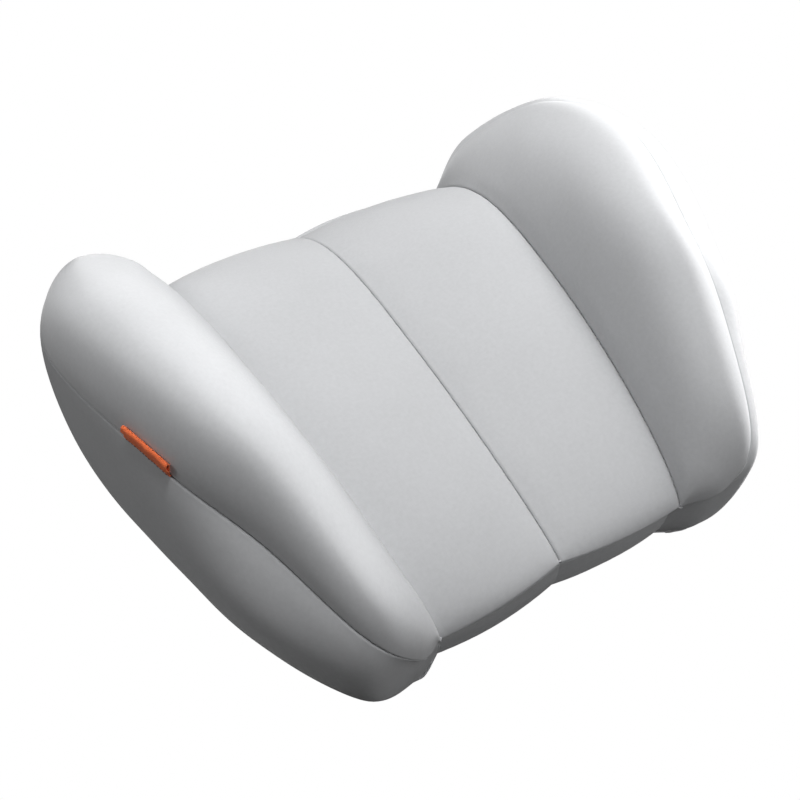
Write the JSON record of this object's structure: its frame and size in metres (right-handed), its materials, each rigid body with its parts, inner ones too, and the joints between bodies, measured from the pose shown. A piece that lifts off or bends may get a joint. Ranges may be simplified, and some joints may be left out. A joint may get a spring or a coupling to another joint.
{
  "type": "lumbar support cushion",
  "caption": "Moulded foam lumbar cushion with thick side wings and a hollow middle, in a sewn zipped cover with a buckled back strap and a loop tag.",
  "frame": {"origin": "under the middle of the cushion's box, on the surface it lies on, back down", "axes": "+Z out of the front of the cushion, towards the sitter's back; +Y towards the wide upper edge; +X to the right seen from the front with the wide edge up"},
  "size_m": [0.4176, 0.34, 0.1446],
  "materials": {
    "cover_fabric": "fine knitted cover cloth, satin",
    "back_fabric": "woven back cloth, matt",
    "liner_knit": "thin knitted liner, matt",
    "foam": "open foam, matt",
    "zip_tape": "woven tape, matt",
    "zip_plastic": "moulded nylon, satin",
    "zip_metal": "plated metal, satin",
    "webbing": "ribbed woven webbing, matt",
    "buckle_plastic": "moulded plastic, fine grain",
    "tag_ribbon": "woven ribbon, satin"
  },
  "bodies": {
    "cushion": {"foam_core": "foam", "inner_liner": "liner_knit", "front_panel_wing_left": "cover_fabric", "front_panel_centre_left": "cover_fabric", "front_panel_centre_right": "cover_fabric", "front_panel_wing_right": "cover_fabric", "side_gusset": "cover_fabric", "back_panel_upper": "back_fabric", "back_panel_lower": "back_fabric", "zip_tape_upper": "zip_tape", "zip_tape_lower": "zip_tape", "zip_teeth_upper": "zip_plastic", "zip_teeth_lower": "zip_plastic", "zip_stop_start": "zip_metal", "zip_stop_end": "zip_metal", "strap_left": "webbing", "strap_right": "webbing", "strap_patch_left": "back_fabric", "strap_patch_right": "back_fabric", "buckle_socket": "buckle_plastic", "loop_tag": "tag_ribbon"},
    "zip_slider": {"zip_slider": "zip_metal"},
    "zip_puller": {"zip_puller": "zip_metal"},
    "buckle_plug": {"buckle_plug": "buckle_plastic", "strap_return": "webbing"},
    "prong_left": {"buckle_prong_left": "buckle_plastic"},
    "prong_right": {"buckle_prong_right": "buckle_plastic"},
    "strap_adjuster": {"strap_adjuster": "buckle_plastic"}
  },
  "joints": [
    {"name": "zip_slide", "type": "slide", "parent": "cushion", "child": "zip_slider", "axis": [1, 0, 0], "range_m": [0, 0.188]},
    {"name": "puller_flip", "type": "hinge", "parent": "zip_slider", "child": "zip_puller", "pos_m": [-0.0945, -0.068, 0.0095], "axis": [0, 1, 0], "range_deg": [0, 170]},
    {"name": "buckle_pull", "type": "slide", "parent": "cushion", "child": "buckle_plug", "axis": [1, 0, 0], "range_m": [0, 0.028], "deforming": ["strap_right"]},
    {"name": "prong_left_press", "type": "hinge", "parent": "buckle_plug", "child": "prong_left", "pos_m": [-0.0297, 0.0104, 0.0077], "axis": [0, 0, 1], "range_deg": [-7, 0], "stiffness_Nm_per_rad": 0.4},
    {"name": "prong_right_press", "type": "hinge", "parent": "buckle_plug", "child": "prong_right", "pos_m": [-0.0297, 0.0336, 0.0077], "axis": [0, 0, 1], "range_deg": [0, 7], "stiffness_Nm_per_rad": 0.4},
    {"name": "adjuster_slide", "type": "slide", "parent": "buckle_plug", "child": "strap_adjuster", "axis": [1, 0, 0], "range_m": [0, 0.04], "deforming": ["strap_return"]}
  ],
  "couplings": [
    {"joint": "prong_right_press", "follows": "prong_left_press", "ratio": -1}
  ]
}
